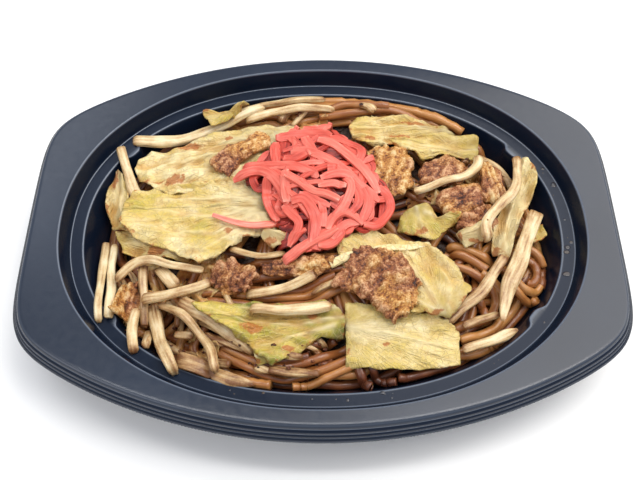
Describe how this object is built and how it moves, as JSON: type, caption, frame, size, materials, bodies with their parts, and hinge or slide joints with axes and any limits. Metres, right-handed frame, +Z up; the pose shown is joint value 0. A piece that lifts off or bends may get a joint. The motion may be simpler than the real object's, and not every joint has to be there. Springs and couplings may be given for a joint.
{
  "type": "yakisoba in a takeaway tray",
  "caption": "Fried noodles with cabbage leaves, pork, bean sprouts and a mound of red pickled ginger, filling a black oval takeaway tray with a wide rim.",
  "frame": {"origin": "middle of the tray's flat base, on the surface it stands on", "axes": "+X along the tray's length, +Y across it towards the back, +Z up"},
  "size_m": [0.2562, 0.1872, 0.0456],
  "materials": {
    "black_plastic": "satin moulded",
    "noodles": "fried noodles, glossy with sauce",
    "cabbage": "stir-fried cabbage leaf, moist",
    "pork": "fried pork, rough and moist",
    "bean_sprout": "cooked bean sprout, moist",
    "red_ginger": "pickled ginger strands, wet"
  },
  "bodies": {
    "root": {"cabbage_back_left": "cabbage", "cabbage_back_pale": "cabbage", "cabbage_back_scrap": "cabbage", "cabbage_back_yellow": "cabbage", "cabbage_big_left": "cabbage", "cabbage_front_green": "cabbage", "cabbage_front_square": "cabbage", "cabbage_left_fold": "cabbage", "cabbage_left_under": "cabbage", "cabbage_right_curl": "cabbage", "cabbage_right_ragged": "cabbage", "cabbage_right_stem": "cabbage", "cabbage_right_tall": "cabbage", "cabbage_small_green": "cabbage", "ginger": "red_ginger", "ginger_strand_1": "red_ginger", "noodles": "noodles", "pork_back_fatty": "pork", "pork_back_left": "pork", "pork_back_middle": "pork", "pork_front_large": "pork", "pork_left_crumb": "pork", "pork_left_flap": "pork", "pork_middle_strip": "pork", "pork_right_broad": "pork", "pork_right_dark": "pork", "pork_right_ribbed": "pork", "sprout_back_1": "bean_sprout", "sprout_back_2": "bean_sprout", "sprout_back_3": "bean_sprout", "sprout_back_4": "bean_sprout", "sprout_front_1": "bean_sprout", "sprout_front_2": "bean_sprout", "sprout_left_1": "bean_sprout", "sprout_left_10": "bean_sprout", "sprout_left_11": "bean_sprout", "sprout_left_2": "bean_sprout", "sprout_left_3": "bean_sprout", "sprout_left_4": "bean_sprout", "sprout_left_5": "bean_sprout", "sprout_left_6": "bean_sprout", "sprout_left_7": "bean_sprout", "sprout_left_8": "bean_sprout", "sprout_left_9": "bean_sprout", "sprout_left_arc": "bean_sprout", "sprout_middle_1": "bean_sprout", "sprout_middle_2": "bean_sprout", "sprout_on_leaf": "bean_sprout", "sprout_over_pork": "bean_sprout", "sprout_right_1": "bean_sprout", "sprout_right_2": "bean_sprout", "sprout_right_3": "bean_sprout", "sprout_right_4": "bean_sprout", "sprout_right_5": "bean_sprout", "sprout_right_6": "bean_sprout", "tray": "black_plastic"}
  },
  "joints": []
}
